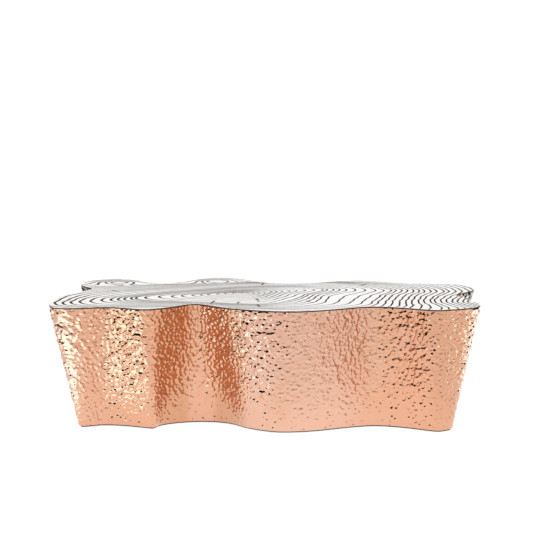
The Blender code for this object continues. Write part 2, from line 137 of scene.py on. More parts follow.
# Growth rings: the pith, how far each ring stands from it along the line to the right end, and
# five rings whose whole shape is given, the rest being blended between them
PITH = (-0.075, 0.020)
RING_REACHES = (
    0.012, 0.030, 0.049, 0.068, 0.090, 0.107, 0.127, 0.151, 0.174, 0.203,
    0.234, 0.265, 0.281, 0.303, 0.324, 0.348, 0.378, 0.413, 0.447, 0.474,
    0.498, 0.515, 0.536, 0.556, 0.577, 0.596, 0.614, 0.636, 0.656, 0.681,
    0.698, 0.722, 0.744, 0.768, 0.789, 0.812, 0.832, 0.855, 0.876, 0.899,
)
GUIDE_RINGS = (
    (0.234, (
        (0.159, 0.100), (0.150, 0.060), (0.116, 0.000), (0.085, -0.080), (0.058, -0.150),
        (0.016, -0.245), (-0.040, -0.290), (-0.120, -0.275), (-0.220, -0.235),
        (-0.330, -0.202), (-0.390, -0.168), (-0.410, -0.115), (-0.385, -0.062), (-0.300, 0.005),
        (-0.180, 0.085), (-0.060, 0.150), (0.040, 0.172), (0.125, 0.145),
    )),
    (0.380, (
        (0.305, 0.120), (0.294, 0.060), (0.252, -0.010), (0.216, -0.070), (0.204, -0.125),
        (0.200, -0.185), (0.192, -0.245), (0.160, -0.310), (0.080, -0.360), (-0.050, -0.365),
        (-0.200, -0.325), (-0.350, -0.300), (-0.480, -0.276), (-0.535, -0.248),
        (-0.556, -0.190), (-0.538, -0.120), (-0.460, -0.025), (-0.340, 0.070), (-0.220, 0.150),
        (-0.080, 0.220), (0.060, 0.250), (0.190, 0.238), (0.270, 0.190),
    )),
    (0.498, (
        (0.423, 0.110), (0.418, 0.040), (0.390, -0.040), (0.372, -0.110), (0.358, -0.180),
        (0.346, -0.250), (0.320, -0.325), (0.250, -0.390), (0.140, -0.430), (0.000, -0.435),
        (-0.150, -0.405), (-0.300, -0.375), (-0.450, -0.365), (-0.580, -0.365),
        (-0.645, -0.335), (-0.672, -0.280), (-0.672, -0.220), (-0.655, -0.140),
        (-0.630, -0.050), (-0.590, 0.020), (-0.510, 0.080), (-0.390, 0.145), (-0.260, 0.215),
        (-0.100, 0.285), (0.080, 0.325), (0.240, 0.305), (0.340, 0.245), (0.398, 0.170),
    )),
    (0.620, (
        (0.545, 0.110), (0.541, 0.040), (0.516, -0.050), (0.497, -0.130), (0.485, -0.230),
        (0.479, -0.330), (0.455, -0.440), (0.340, -0.610), (0.180, -0.710), (-0.080, -0.720),
        (-0.440, -0.620), (-0.720, -0.500), (-0.880, -0.280), (-0.880, -0.060),
        (-0.760, 0.120), (-0.560, 0.220), (-0.300, 0.290), (-0.050, 0.350), (0.180, 0.370),
        (0.370, 0.320), (0.490, 0.230),
    )),
    (0.744, (
        (0.669, 0.100), (0.662, 0.030), (0.635, -0.050), (0.606, -0.130), (0.592, -0.200),
        (0.598, -0.265), (0.618, -0.340), (0.645, -0.430), (0.600, -0.680), (0.380, -0.860),
        (0.000, -0.920), (-0.480, -0.800), (-0.900, -0.640), (-1.180, -0.300),
        (-1.100, 0.100), (-0.780, 0.380), (-0.400, 0.500), (0.000, 0.560), (0.350, 0.500),
        (0.580, 0.310),
    )),
)
# Knots that the rings bend round: place, and size of the knot
KNOTS = (
    (-0.535, 0.345, 0.080),
    (-0.185, 0.385, 0.080),
)
# Short checks across the rings: where each starts, and where it ends
CHECKS = (
    ((-0.037, -0.150), (-0.030, -0.222)),
    ((-0.034, -0.305), (-0.026, -0.368)),
    ((-0.176, -0.205), (-0.186, -0.282)),
    ((-0.094, -0.235), (-0.101, -0.275)),
    ((0.128, -0.205), (0.150, -0.262)),
    ((-0.512, 0.060), (-0.540, 0.086)),
    ((0.330, 0.235), (0.352, 0.290)),
    ((-0.020, 0.262), (-0.014, 0.312)),
)
# The V grooves: width, how much wider they are cut towards the left end, and depth
GROOVE_WIDTH = 0.0064
LEFT_WIDENING = 0.5
GROOVE_DEPTH = 0.0022
# How dark the painted shade on the rim's side is, on the scale where the bottom of a groove is 1
RIM_PAINTED_SHADE = 0.5
RIM_RADIUS = 0.0015
LIP_RADIUS = 0.0006
TOP_CELL = 0.008

# The studio, by direction about the table: turns in degrees from the front towards the right,
# and rises above the horizon, then how dim or how bright the patch is
DIM_PATCHES = (
    ((-106, -24), (-4, 42), 0.02),
    ((58, 82), (-4, 12), 0.40),
    ((4, 12), (-4, 30), 0.02),
    ((34, 41), (-4, 30), 0.02),
    ((92, 169), (-4, 30), 0.02),
    ((-169, -106), (-4, 24), 0.02),
)
SOFT_BOXES = (
    ((-74, -44), (46, 64), 4.0),
    ((-20, 50), (44, 66), 3.0),
    ((172, 188), (-2, 24), 0.12),
    ((-188, -172), (-2, 24), 0.12),
    ((44, 84), (14, 58), 0.7),
    ((150, 176), (30, 58), 1.0),
    ((-160, -120), (18, 58), 1.0),
)
# Pools of cooler light on the floor beside the table, and the bounced light round its foot:
# centre, half sizes, how softly the pool ends, and its extra red, green and blue
POOLS = (
    ((-1.22, -0.62), (0.62, 0.42), 0.15, (0.60, 1.60, 2.10)),
    ((1.72, 0.20), (0.60, 0.78), 0.15, (0.50, 1.40, 1.90)),
    ((0.0, 0.0), (0.95, 0.70), 0.45, (0.28, 0.30, 0.32)),
)

# Hammer marks in the copper. Broad shallow dishes meet in soft ridges: how far apart they stand
# along the wall and up it, how steep a dish is at its rim, and how far out its rim stands.
DISH_PITCH = (0.0165, 0.0142)
DISH_STEEPNESS = 0.36
DISH_REACH = 0.008
DISH_VARIATION = 0.0003
DISH_SEED = 5
# Small deep strikes of the punch lie scattered over them: half sizes and greatest depth
PUNCH_PITCH = (0.0175, 0.0118)
PUNCH_SIZE = (0.0082, 0.0066)
PUNCH_DEPTH = 0.0032
PUNCH_BOLDNESS = 1.9
PUNCH_SEED = 11
# How far a strike strays from its even place, as a share of the pitch
STRAY = 0.45
# The marks are weakest at the foot and strongest near the top, bolder towards the left end and
# calmer towards the right. They fade out at the edges of a sheet.
FOOT_STRENGTH = 0.62
TOP_GAIN = 0.50
LEFT_EMPHASIS = 0.25
RIGHT_CALM = 0.08
EDGE_FADE = 0.004
# The unmarked face stands this far out of the plain wall, and no mark goes deeper than this
FACE_LIFT = 0.0013
DEEPEST_MARK = -0.0013
COPPER_CELL = 0.0016

# The camera, and the floor
CAMERA_PLACE = (-0.0039, -7.325, 1.284)
CAMERA_TILT = 6.07
CAMERA_LENS = 145.9
CAMERA_SENSOR = 36.0
FLOOR_REACH = 60.0
FLOOR_SIDES = 64
FLOOR_GLOW = 0.56


def closed_spline(stations, samples):
    """A smooth closed curve through the stations, with so many samples to each span."""
    count = len(stations)
    ahead = np.roll(stations, -1, axis=0)
    span = np.linalg.norm((ahead - stations)[:, :2], axis=1)
    rate = (ahead - stations) / span[:, None]
    system = np.zeros((count, count))
    load = np.zeros_like(stations)
    for i in range(count):
        before = (i - 1) % count
        system[i, before] = span[i]
        system[i, i] = 2 * (span[i] + span[before])
        system[i, (i + 1) % count] = span[before]
        load[i] = 3 * (span[i] * rate[before] + span[before] * rate[i])
    slope = np.linalg.solve(system, load)
    slope_ahead = np.roll(slope, -1, axis=0)
    curve = []
    for i in range(count):
        for step in range(samples):
            t = step / samples
            curve.append(
                (1 + 2 * t) * (1 - t) ** 2 * stations[i]
                + t * (1 - t) ** 2 * span[i] * slope[i]
                + t * t * (3 - 2 * t) * ahead[i]
                - t * t * (1 - t) * span[i] * slope_ahead[i]
            )
    return np.array(curve)


def plan_outlines():
    """The top and foot outlines, centred as the CAD model centres them."""
    stations = np.array([row[:4] for row in STATIONS])
    coarse = closed_spline(stations, CAD_SAMPLES)[:, :2]
    centre = (coarse.min(axis=0) + coarse.max(axis=0)) / 2
    curve = closed_spline(stations, FINE_SAMPLES)
    return curve[:, :2] - centre, curve[:, 2:] - centre


TOP_EDGE, FOOT_EDGE = plan_outlines()


def outward_normals(points):
    """Unit normals of a closed anticlockwise outline, pointing out of it."""
    along = np.roll(points, -1, axis=0) - np.roll(points, 1, axis=0)
    along /= np.linalg.norm(along, axis=1)[:, None]
    return np.stack([along[:, 1], -along[:, 0]], axis=1)


def smooth_step(value):
    """A smooth rise from 0 to 1 as the value goes from 0 to 1."""
    value = np.clip(value, 0.0, 1.0)
    return value * value * (3 - 2 * value)


def new_piece(name, points, faces, material, smooth):
    """A mesh object that rides on the carcass."""
    mesh = bpy.data.meshes.new(name)
    mesh.from_pydata(points.tolist(), [], faces)
    mesh.materials.append(material)
    mesh.polygons.foreach_set("use_smooth", [smooth] * len(mesh.polygons))
    mesh.update()
    piece = bpy.data.objects.new(name, mesh)
    bpy.context.scene.collection.objects.link(piece)
    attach(piece, "carcass")
    return piece


# ---------------------------------------------------------------- the growth rings

def guide_ring(points):
    """The directions and radii of a ring about the pith, in order of direction."""
    curve = closed_spline(np.array(points[::-1]), 8) - PITH
    direction = np.arctan2(curve[:, 1], curve[:, 0])
    order = np.argsort(direction)
    return direction[order], np.hypot(curve[:, 0], curve[:, 1])[order]


GUIDES = [(reach, *guide_ring(points)) for reach, points in GUIDE_RINGS]


def ring_reach(points):
    """How far out of the pith a point's ring stands, measured along the line to the right end."""
    x, y = points[:, 0], points[:, 1]
    u = x + 0.0022 * np.sin(31 * y + 4 * x + 1.0) + 0.0012 * np.sin(73 * y - 19 * x)
    v = y + 0.0030 * np.sin(23 * x + 0.6) + 0.0016 * np.sin(57 * x + 21 * y + 2.0)
    dx, dy = u - PITH[0], v - PITH[1]
    direction = np.arctan2(dy, dx)
    radius = np.hypot(dx, dy)
    inner_reach, inner_radius = 0.0, 0.0
    reach = np.zeros_like(radius)
    for number, (guide_reach, directions, radii) in enumerate(GUIDES):
        outer_radius = np.interp(direction, directions, radii, period=math.tau)
        share = (radius - inner_radius) / (outer_radius - inner_radius)
        blended = inner_reach + share * (guide_reach - inner_reach)
        reach = np.where(share >= 0, blended, reach) if number else blended
        inner_reach, inner_radius = guide_reach, outer_radius
    for knot_x, knot_y, size in KNOTS:
        away = np.hypot(x - knot_x, 1.1 * (y - knot_y))
        reach = reach - 1.15 * size * np.exp(-((away / size) ** 2))
    return reach


def ring_slope(points):
    """How fast the ring reach grows from place to place."""
    step = 0.0005
    along = ring_reach(points + (step, 0)) - ring_reach(points - (step, 0))
    across = ring_reach(points + (0, step)) - ring_reach(points - (0, step))
    return np.maximum(np.hypot(along, across) / (2 * step), 0.05)


def check_distance(points, ends):
    """The distance of points from a short straight check."""
    start, end = np.array(ends[0]), np.array(ends[1])
    run = end - start
    share = np.clip((points - start) @ run / (run @ run), 0, 1)
    return np.linalg.norm(points - start - share[:, None] * run, axis=1)


# ---------------------------------------------------------------- the top plate

def nearest_on_outline(points, outline):
    """For each point, its nearest point on a closed outline, and its distance, minus inside."""
    start = outline
    run = np.roll(outline, -1, axis=0) - outline
    length = (run ** 2).sum(axis=1)
    nearest = np.empty_like(points)
    distance = np.empty(len(points))
    for first in range(0, len(points), 4000):
        some = slice(first, first + 4000)
        offset = points[some, None, :] - start[None]
        share = np.clip((offset * run).sum(axis=2) / length, 0, 1)
        foot = start + share[..., None] * run
        gap = np.linalg.norm(points[some, None, :] - foot, axis=2)
        best = gap.argmin(axis=1)
        rows = np.arange(len(best))
        nearest[some] = foot[rows, best]
        side = points[some] - start[best]
        inside = run[best, 0] * side[:, 1] - run[best, 1] * side[:, 0] > 0
        distance[some] = np.where(inside, -gap[rows, best], gap[rows, best])
    return nearest, distance


class Sheet:
    """A flat triangulated sheet that can be split along lines where a value is zero."""

    def __init__(self, points, triangles):
        self.points = points
        self.triangles = triangles
        self.reach = ring_reach(points)
        self.slope = ring_slope(points)

    def from_ring(self, reach):
        """How far each point stands outside a ring, where grooves are of the usual width."""
        widening = LEFT_WIDENING * smooth_step((-0.05 - self.points[:, 0]) / 0.35)
        widening = 1 + widening * smooth_step((1.9 - self.slope) / 0.7)
        return (self.reach - reach) / (self.slope * widening)

    def split(self, value, snap=0.00025):
        """Split the triangles that the zero line of a value, given at each point, crosses."""
        sign = np.where(np.abs(value) < snap, 0, np.sign(value)).astype(int)
        corner_signs = sign[self.triangles]
        mixed = (corner_signs.min(axis=1) < 0) & (corner_signs.max(axis=1) > 0)
        if not mixed.any():
            return
        cut, signs = self.triangles[mixed], corner_signs[mixed]
        total = signs.sum(axis=1)
        lone = (signs == -total[:, None]).argmax(axis=1)
        turn = (lone[:, None] + np.arange(3)) % 3
        cut = np.take_along_axis(cut, turn, axis=1)
        two_sided = total == 0
        pairs = [cut[two_sided][:, [1, 2]], cut[~two_sided][:, [0, 1]], cut[~two_sided][:, [0, 2]]]
        edges = np.sort(np.concatenate(pairs), axis=1)
        keys, place = np.unique(edges[:, 0] * len(sign) + edges[:, 1], return_inverse=True)
        first, second = keys // len(sign), keys % len(sign)
        share = (value[first] / (value[first] - value[second]))[:, None]
        fresh = self.points[first] * (1 - share) + self.points[second] * share
        place = place + len(self.points)
        halves, rest = two_sided.sum(), (~two_sided).sum()
        middle = place[:halves]
        one, other = place[halves:halves + rest], place[halves + rest:]
        a, b, c = cut[two_sided].T
        d, e, f = cut[~two_sided].T
        self.triangles = np.concatenate([
            self.triangles[~mixed],
            np.stack([a, b, middle], 1), np.stack([a, middle, c], 1),
            np.stack([d, one, other], 1), np.stack([one, e, f], 1), np.stack([one, f, other], 1),
        ])
        self.points = np.concatenate([self.points, fresh])
        self.reach = np.concatenate([self.reach, ring_reach(fresh)])
        self.slope = np.concatenate([self.slope, ring_slope(fresh)])

    def keep(self, wanted):
        """Keep only some triangles, and the points that they use."""
        self.triangles = self.triangles[wanted]
        used, numbers = np.unique(self.triangles, return_inverse=True)
        self.triangles = numbers.reshape(-1, 3)
        self.points = self.points[used]
        self.reach = self.reach[used]
        self.slope = self.slope[used]

    def border(self):
        """The points along the sheet's edge, in order."""
        edges = np.concatenate([self.triangles[:, [0, 1]], self.triangles[:, [1, 2]],
                                self.triangles[:, [2, 0]]])
        paired = {(int(b), int(a)) for a, b in edges}
        ahead = {int(a): int(b) for a, b in edges if (int(a), int(b)) not in paired}
        loop = [min(ahead)]
        while ahead[loop[-1]] != loop[0]:
            loop.append(ahead[loop[-1]])
        return loop


def flat_grid(low, high, cell):
    """A triangulated grid over a rectangle."""
    columns = int(math.ceil((high[0] - low[0]) / cell)) + 1
    rows = int(math.ceil((high[1] - low[1]) / cell)) + 1
    x, y = np.meshgrid(low[0] + cell * np.arange(columns), low[1] + cell * np.arange(rows))
    points = np.stack([x.ravel(), y.ravel()], axis=1)
    corner = (np.arange(rows - 1)[:, None] * columns + np.arange(columns - 1)).ravel()
    lower = np.stack([corner, corner + 1, corner + columns + 1], axis=1)
    upper = np.stack([corner, corner + columns + 1, corner + columns], axis=1)
    return points, np.concatenate([lower, upper])


def rim_profile():
    """The rounded edge of the top plate, from its face down and round to its underside."""
    radius = RIM_RADIUS
    profile = []
    for step in range(1, 6):
        angle = math.radians(18 * step)
        profile.append((radius * (1 - math.sin(angle)), radius * (math.cos(angle) - 1)))
    lip = LIP_RADIUS
    for step in range(4):
        angle = math.radians(30 * step)
        profile.append((lip * (1 - math.cos(angle)), lip * (1 - math.sin(angle)) - TOP_THICKNESS))
    return radius, profile


def make_top(material):
    """The top plate, with the growth rings and checks cut into it as shallow V grooves."""
    edge = TOP_EDGE + outward_normals(TOP_EDGE) * TOP_OVERHANG
    radius, profile = rim_profile()
    sheet = Sheet(*flat_grid(edge.min(axis=0) - TOP_CELL, edge.max(axis=0) + TOP_CELL, TOP_CELL))
    _, distance = nearest_on_outline(sheet.points, edge)
    sheet.split(distance + radius)
    _, distance = nearest_on_outline(sheet.points, edge)
    sheet.keep((distance[sheet.triangles] < 0.00026 - radius).all(axis=1))
    half = GROOVE_WIDTH / 2
    for reach in RING_REACHES:
        for offset in (-half, 0.0, half):
            sheet.split(sheet.from_ring(reach) - offset)
    for ends in CHECKS:
        for offset in (half, half / 5):
            sheet.split(check_distance(sheet.points, ends) - offset, 0.0001)

    nearness = np.full(len(sheet.points), np.inf)
    for reach in RING_REACHES:
        nearness = np.minimum(nearness, np.abs(sheet.from_ring(reach)))
    for ends in CHECKS:
        nearness = np.minimum(nearness, check_distance(sheet.points, ends))
    groove = np.clip(1 - nearness / half, 0, 1)

    loop = sheet.border()
    on_edge, _ = nearest_on_outline(sheet.points[loop], edge)
    groove[loop] = 0.0
    inward = sheet.points[loop] - on_edge
    inward /= np.linalg.norm(inward, axis=1)[:, None]
    level = HEIGHT - GROOVE_DEPTH * groove
    points = [np.column_stack([sheet.points, level])]
    rings = [list(loop)]
    total = len(sheet.points)
    for inset, drop in profile:
        ring = on_edge + inward * inset
        points.append(np.column_stack([ring, np.full(len(ring), HEIGHT + drop)]))
        rings.append(list(range(total, total + len(ring))))
        total += len(ring)
    faces = sheet.triangles.tolist()
    for upper, lower in zip(rings, rings[1:]):
        for i in range(len(upper)):
            j = (i + 1) % len(upper)
            faces.append((upper[i], lower[i], lower[j], upper[j]))
    faces.append(rings[-1][::-1])
    top = new_piece("engraved_top", np.concatenate(points), faces, material, False)
    depth = np.zeros(total, np.float32)
    depth[:len(groove)] = groove
    # Painted shade: the rim's side below its rounding is given the dark groove colour, standing in for
    # the dark line of shade under the top's edge.
    depth[len(groove) + 3 * len(loop):] = RIM_PAINTED_SHADE
    top.data.attributes.new("groove", "FLOAT", "POINT").data.foreach_set("value", depth)
    crowding = np.zeros(total, np.float32)
    crowding[:len(groove)] = sheet.slope
    top.data.attributes.new("crowding", "FLOAT", "POINT").data.foreach_set("value", crowding)
    # Samples of the rim that fall on one corner of the outline become one
    shell = bmesh.new()
    shell.from_mesh(top.data)
    bmesh.ops.remove_doubles(shell, verts=shell.verts, dist=0.00001)
    shell.to_mesh(top.data)
    shell.free()
    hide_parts("top_plate")
    return top


# ---------------------------------------------------------------- the copper skin

def strikes(along, level, pitch, seed, length):
    """The strikes round each point of the wall: how far along and up each is, and its chance."""
    rows = int(math.ceil(HEIGHT / pitch[1])) + 4
    columns = int(round(length / pitch[0]))
    across = length / columns
    rng = np.random.default_rng(seed)
    row, column = np.meshgrid(np.arange(rows), np.arange(columns), indexing="ij")
    strike_x = (column + 0.5 * (row % 2) + rng.uniform(-STRAY, STRAY, row.shape)) * across
    strike_y = (row - 1 + rng.uniform(-STRAY, STRAY, row.shape)) * pitch[1]
    chance = rng.uniform(0.0, 1.0, row.shape)
    near_row = np.floor(level / pitch[1]).astype(int) + 1
    near_column = np.floor(along / across).astype(int)
    for row_step in range(-1, 3):
        for column_step in range(-2, 3):
            r = np.clip(near_row + row_step, 0, rows - 1)
            c = (near_column + column_step) % columns
            dx = along - strike_x[r, c]
            dx -= length * np.round(dx / length)
            yield dx, level - strike_y[r, c], chance[r, c]


def hammer_marks(along, level, length):
    """How far each point of the wall stands out of the plain face, in metres.

    Each blow of the hammer leaves a shallow round dish, and the dishes meet in ridges. The punch
    leaves smaller and deeper marks.
    """
    dishes = np.full(along.shape, np.inf)
    for dx, dy, chance in strikes(along, level, DISH_PITCH, DISH_SEED, length):
        away = np.hypot(dx, dy) / DISH_REACH
        rim = (0.7 + 0.6 * chance) * DISH_STEEPNESS * DISH_REACH / 2
        dishes = np.minimum(dishes, rim * away ** 2 - DISH_VARIATION * chance)
    punched = np.zeros(along.shape)
    for dx, dy, chance in strikes(along, level, PUNCH_PITCH, PUNCH_SEED, length):
        away = np.hypot(dx / PUNCH_SIZE[0], dy / PUNCH_SIZE[1])
        depth = PUNCH_DEPTH * np.clip(PUNCH_BOLDNESS * chance, 0.0, 1.0)
        punched = np.maximum(punched, depth * np.clip(1 - away, 0, 1))
    return dishes - punched


def wall_lengths():
    """The distance along the wall at half height, at each sample of the outlines."""
    middle = (TOP_EDGE + FOOT_EDGE) / 2
    steps = np.linalg.norm(np.roll(middle, -1, axis=0) - middle, axis=1)
    return np.concatenate([[0.0], np.cumsum(steps)])


WALL_LENGTHS = wall_lengths()


def wall_point(along, level):
    """Points of the smooth wall, for distances along it and levels."""
    samples = np.append(np.arange(len(TOP_EDGE)), len(TOP_EDGE))
    place = np.interp(along % WALL_LENGTHS[-1], WALL_LENGTHS, samples)
    closed_top = np.vstack([TOP_EDGE, TOP_EDGE[:1]])
    closed_foot = np.vstack([FOOT_EDGE, FOOT_EDGE[:1]])
    top = np.stack([np.interp(place, samples, closed_top[:, k]) for k in (0, 1)], axis=-1)
    foot = np.stack([np.interp(place, samples, closed_foot[:, k]) for k in (0, 1)], axis=-1)
    share = (level / HEIGHT)[..., None]
    return np.concatenate([foot + (top - foot) * share, level[..., None]], axis=-1)


def wall_normal(along, level):
    """Unit normals of the smooth wall, pointing out of it."""
    step = 0.002
    across = wall_point(along + step, level) - wall_point(along - step, level)
    up = wall_point(along, level + step) - wall_point(along, level - step)
    normal = np.cross(across, up)
    return normal / np.linalg.norm(normal, axis=-1, keepdims=True)


def make_panel(name, first_seam, last_seam, material):
    """One hammered sheet of the skin, closed at its edges and its back."""
    names = [row[4] for row in STATIONS]
    start = WALL_LENGTHS[names.index(first_seam) * FINE_SAMPLES]
    end = WALL_LENGTHS[names.index(last_seam) * FINE_SAMPLES]
    if end <= start:
        end += WALL_LENGTHS[-1]
    columns = int(round((end - start) / COPPER_CELL)) + 1
    rows = int(round((SKIRT_TOP - HEM_LEVEL) / COPPER_CELL)) + 1
    along, level = np.meshgrid(np.linspace(start, end, columns),
                               np.linspace(HEM_LEVEL, SKIRT_TOP, rows))
    smooth = wall_point(along, level)
    normal = wall_normal(along, level)
    marks = hammer_marks(along % WALL_LENGTHS[-1], level, WALL_LENGTHS[-1])
    strength = FOOT_STRENGTH + TOP_GAIN * smooth_step(level / (0.90 * HEIGHT))
    strength *= 1 + LEFT_EMPHASIS * smooth_step((-0.30 - smooth[..., 0]) / 0.15)
    strength *= 1 - RIGHT_CALM * smooth_step((smooth[..., 0] - 0.25) / 0.20)
    edge = smooth_step(np.minimum(level - HEM_LEVEL, SKIRT_TOP - level) / EDGE_FADE)
    relief = np.maximum(FACE_LIFT + marks * strength * edge, DEEPEST_MARK)
    face = smooth + normal * relief[..., None]
    back = smooth[[0, -1]] - normal[[0, -1]] * SKIN_THICKNESS
    points = np.concatenate([face.reshape(-1, 3), back.reshape(-1, 3)])
    number = np.arange(rows * columns).reshape(rows, columns)
    low_back = rows * columns + np.arange(columns)
    high_back = low_back + columns
    a, b = number[:-1, :-1].ravel(), number[:-1, 1:].ravel()
    c, d = number[1:, 1:].ravel(), number[1:, :-1].ravel()
    faces = np.stack([a, b, c, d], axis=1).tolist()
    for i in range(columns - 1):
        faces.append((low_back[i + 1], low_back[i], high_back[i], high_back[i + 1]))
        faces.append((number[0, i + 1], number[0, i], low_back[i], low_back[i + 1]))
        faces.append((number[-1, i], number[-1, i + 1], high_back[i + 1], high_back[i]))
    faces.append([*number[:, 0], high_back[0], low_back[0]])
    faces.append([*number[::-1, -1], low_back[-1], high_back[-1]])
    faces = [[int(v) for v in face_loop] for face_loop in faces]
    panel = new_piece(f"hammered_{name}", points, faces, material, True)
    rounded = np.ones(len(panel.data.polygons), bool)
    rounded[(rows - 1) * (columns - 1):] = False
    panel.data.polygons.foreach_set("use_smooth", rounded)
    sharpen_borders(panel.data, number)
    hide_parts(name)
    return panel


def sharpen_borders(mesh, number):
    """Keep the edges of the hammered face crisp, so that its shading doesn't run over them."""
    border = set(number[0].tolist() + number[-1].tolist()
                 + number[:, 0].tolist() + number[:, -1].tolist())
    ends = np.zeros(len(mesh.edges) * 2, int)
    mesh.edges.foreach_get("vertices", ends)
    ends = ends.reshape(-1, 2)
    sharp = np.isin(ends, list(border)).all(axis=1)
    mesh.attributes.new("sharp_edge", "BOOLEAN", "EDGE").data.foreach_set("value", sharp)


# ---------------------------------------------------------------- materials

class Graph:
    """A small helper for building a material's or the world's nodes."""

    def __init__(self, tree):
        self.tree = tree

    def node(self, kind, **settings):
        """Add a node, with its settings and inputs given by name."""
        node = self.tree.nodes.new(kind)
        for key, value in settings.items():
            if hasattr(node, key):
                setattr(node, key, value)
            else:
                self.feed(node.inputs[key.replace("_", " ")], value)
        return node

    def feed(self, socket, value):
        """Link a socket to another, or set its value."""
        if isinstance(value, bpy.types.NodeSocket):
            self.tree.links.new(value, socket)
        else:
            socket.default_value = value

    def math(self, operation, *values):
        """A Math node."""
        node = self.tree.nodes.new("ShaderNodeMath")
        node.operation = operation
        for socket, value in zip(node.inputs, values):
            self.feed(socket, value)
        return node.outputs[0]

    def ramp(self, value, low, high, to_low=0.0, to_high=1.0):
        """A smooth ramp of a value between two limits."""
        node = self.tree.nodes.new("ShaderNodeMapRange")
        node.interpolation_type = "SMOOTHSTEP"
        for socket, given in zip(node.inputs, (value, low, high, to_low, to_high)):
            self.feed(socket, given)
        return node.outputs[0]

    def mix(self, share, first, second):
        """A blend of two colours."""
        node = self.tree.nodes.new("ShaderNodeMix")
        node.data_type = "RGBA"
        self.feed(node.inputs["Factor"], share)
        self.feed(node.inputs[6], first)
        self.feed(node.inputs[7], second)
        return node.outputs[2]

    def noise(self, vector, scale, detail=3.0, roughness=0.5):
        """Soft noise from 0 to 1."""
        node = self.tree.nodes.new("ShaderNodeTexNoise")
        self.feed(node.inputs["Vector"], vector)
        node.inputs["Scale"].default_value = scale
        node.inputs["Detail"].default_value = detail
        node.inputs["Roughness"].default_value = roughness
        return node.outputs["Fac"]

    def bump(self, height, strength, distance):
        """A bump from a height."""
        node = self.tree.nodes.new("ShaderNodeBump")
        node.inputs["Strength"].default_value = strength
        node.inputs["Distance"].default_value = distance
        self.feed(node.inputs["Height"], height)
        return node.outputs["Normal"]

    def stretched(self, scale):
        """The object's own coordinates, scaled along each axis."""
        place = self.tree.nodes.new("ShaderNodeTexCoord")
        mapping = self.tree.nodes.new("ShaderNodeMapping")
        mapping.inputs["Scale"].default_value = scale
        self.tree.links.new(place.outputs["Object"], mapping.inputs["Vector"])
        return mapping.outputs["Vector"]


def new_material(name):
    """A material with its graph and its Principled shader."""
    material = bpy.data.materials.new(name)
    material.use_nodes = True
    return material, Graph(material.node_tree), material.node_tree.nodes["Principled BSDF"]


def colour(red, green, blue):
    """An opaque colour."""
    return (red, green, blue, 1.0)


def engraved_silver():
    """Polished pale metal with faint brushing, and dark patina down in the grooves; the rim's side
    carries the same dark colour as painted shade.

    Where the rings crowd together the metal between them is duller.
    """
    material, graph, shader = new_material("engraved_silver")
    place = graph.stretched((1, 1, 1))
    # The groove attribute also carries the painted shade on the rim's side.
    groove = graph.node("ShaderNodeAttribute", attribute_name="groove").outputs["Fac"]
    wander = graph.noise(place, 260.0, 4.0)
    ragged = graph.math("MULTIPLY", wander, 0.12)
    patina_and_rim_shade = graph.ramp(graph.math("ADD", groove, ragged), 0.06, 0.20)
    cloud = graph.noise(place, 7.0, 4.0)
    crowding = graph.node("ShaderNodeAttribute", attribute_name="crowding").outputs["Fac"]
    silver = graph.mix(cloud, colour(0.93, 0.92, 0.895), colour(0.97, 0.96, 0.945))
    dulled = graph.ramp(crowding, 1.1, 2.4, 0.0, 0.40)
    silver = graph.mix(dulled, silver, colour(0.52, 0.505, 0.48))
    stain = graph.noise(place, 40.0)
    brown = graph.mix(stain, colour(0.050, 0.028, 0.018), colour(0.13, 0.080, 0.055))
    graph.feed(shader.inputs["Base Color"], graph.mix(patina_and_rim_shade, silver, brown))
    graph.feed(shader.inputs["Metallic"], graph.math("SUBTRACT", 1.0, patina_and_rim_shade))
    shader.inputs["Specular IOR Level"].default_value = 0.05
    scratches = graph.noise(graph.stretched((30, 900, 30)), 1.0, 3.0)
    fine = graph.math("MULTIPLY_ADD", scratches, 0.10, 0.17)
    soft = graph.math("MULTIPLY_ADD", cloud, 0.08, fine)
    graph.feed(shader.inputs["Roughness"], graph.math("MULTIPLY_ADD", patina_and_rim_shade, 0.65, soft))
    waves = graph.noise(place, 22.0, 2.0)
    relief = graph.math("ADD", waves, graph.math("MULTIPLY", scratches, 0.04))
    graph.feed(shader.inputs["Normal"], graph.bump(relief, 0.25, 0.001))
    return material


